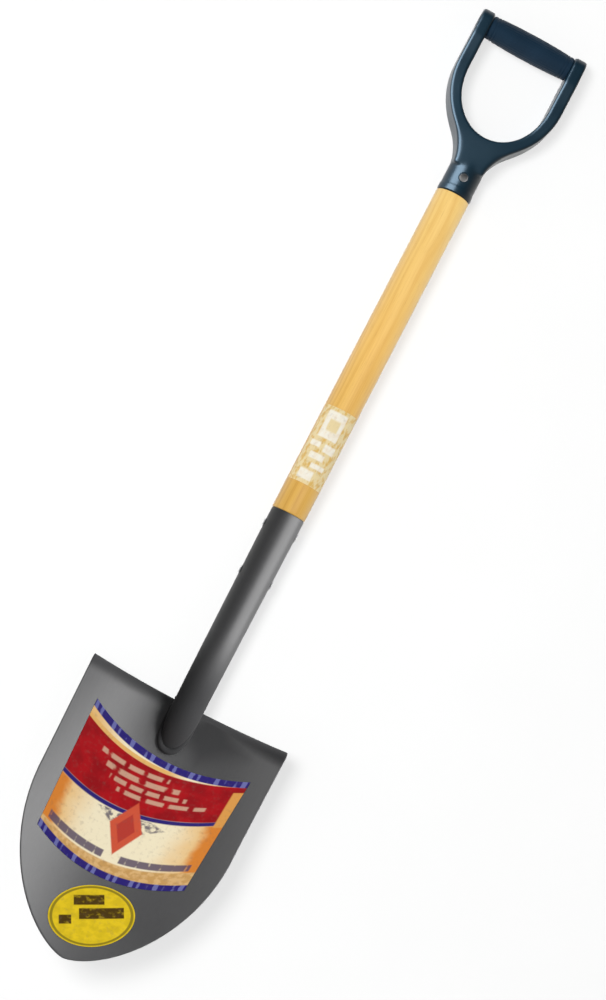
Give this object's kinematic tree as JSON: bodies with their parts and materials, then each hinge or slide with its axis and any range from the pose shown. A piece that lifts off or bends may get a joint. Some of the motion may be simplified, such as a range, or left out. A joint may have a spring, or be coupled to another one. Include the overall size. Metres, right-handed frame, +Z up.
{
  "type": "round point shovel",
  "caption": "Digging shovel with a dished round point blade, a steel shank, a wooden shaft and a plastic D-grip with a hand hole.",
  "frame": {"origin": "centre of the bounding box's base, on the ground the tool lies on", "axes": "+Z up, out of the blade's hollow; +Y along the shaft towards the grip; X across the blade; the tool is mirrored about X = 0"},
  "size_m": [0.2254, 1.0894, 0.0871],
  "materials": {
    "steel_paint": "dark grey satin enamel over pressed steel",
    "bright_steel": "zinc plated",
    "lacquered_ash": "clear gloss lacquer",
    "grip_plastic": "blue-black, semi gloss",
    "crossbar_plastic": "navy black, matte",
    "label_film": "printed film in red, cream and blue",
    "yellow_film": "printed yellow film",
    "pale_film": "pale printed film"
  },
  "bodies": {
    "root": {"blade": "steel_paint", "shank_socket": "steel_paint", "face_weld_bead": "steel_paint", "left_step_weld": "steel_paint", "right_step_weld": "steel_paint", "socket_rivet_1": "bright_steel", "socket_rivet_2": "bright_steel", "ash_shaft": "lacquered_ash", "grip_yoke": "grip_plastic", "grip_crossbar": "crossbar_plastic", "crossbar_bolt": "bright_steel", "crossbar_nut": "bright_steel", "ferrule_rivet": "bright_steel", "blade_label": "label_film", "oval_sticker": "yellow_film", "shaft_label": "pale_film"}
  },
  "joints": []
}
